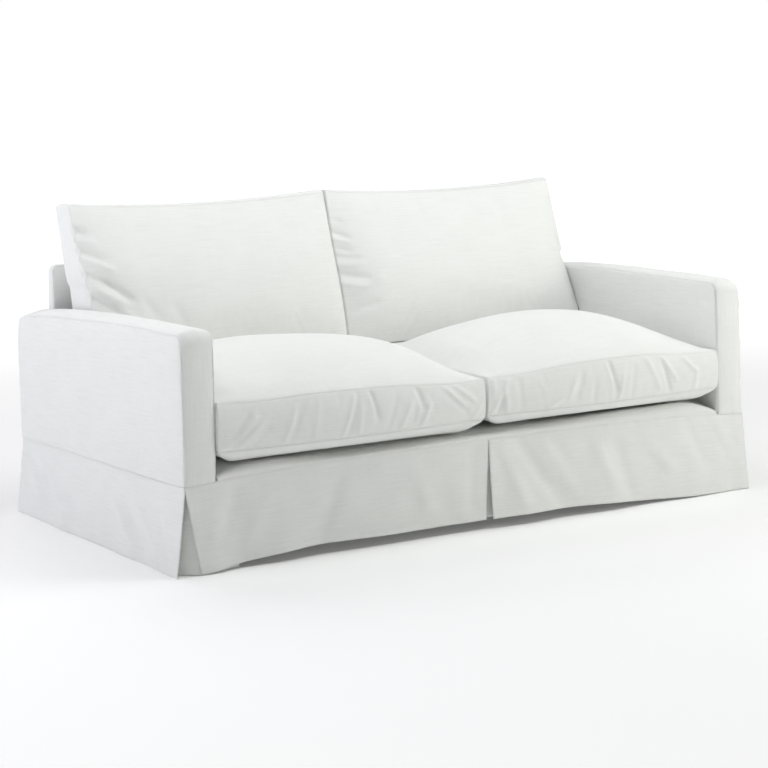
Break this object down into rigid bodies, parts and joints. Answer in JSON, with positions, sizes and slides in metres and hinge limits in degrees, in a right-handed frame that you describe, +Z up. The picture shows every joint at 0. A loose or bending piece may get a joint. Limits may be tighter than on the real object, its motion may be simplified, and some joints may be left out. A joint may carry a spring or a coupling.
{
  "type": "sofa slipcover",
  "caption": "Fitted cloth cover with straight arms, low back and floor-length pleated skirt, with box seat and back cushions, to go over a wide two-seat frame.",
  "frame": {"origin": "on the floor, under the middle of the cover", "axes": "+X towards the right arm as the viewer in front sees it, +Y towards the back, +Z up; the front faces -Y"},
  "size_m": [1.987, 1.1184, 0.9259],
  "materials": {
    "cloth": "matte off-white slub linen weave",
    "cushion_cloth": "matte off-white slub linen weave"
  },
  "bodies": {
    "root": {"arm_outer_left": "cloth", "arm_outer_right": "cloth", "arm_inner_left": "cloth", "arm_inner_right": "cloth", "arm_band_left": "cloth", "arm_band_right": "cloth", "back_outer": "cloth", "back_inner": "cloth", "back_band": "cloth", "deck": "cloth", "skirt_front_left": "cloth", "skirt_front_right": "cloth", "skirt_side_left": "cloth", "skirt_side_right": "cloth", "skirt_back": "cloth", "underlay_front_left": "cloth", "underlay_front_right": "cloth", "underlay_rear_left": "cloth", "underlay_rear_right": "cloth", "underlay_centre": "cloth", "seat_cushion_left": "cushion_cloth", "seat_cushion_right": "cushion_cloth", "back_cushion_left": "cushion_cloth", "back_cushion_right": "cushion_cloth"}
  },
  "joints": []
}
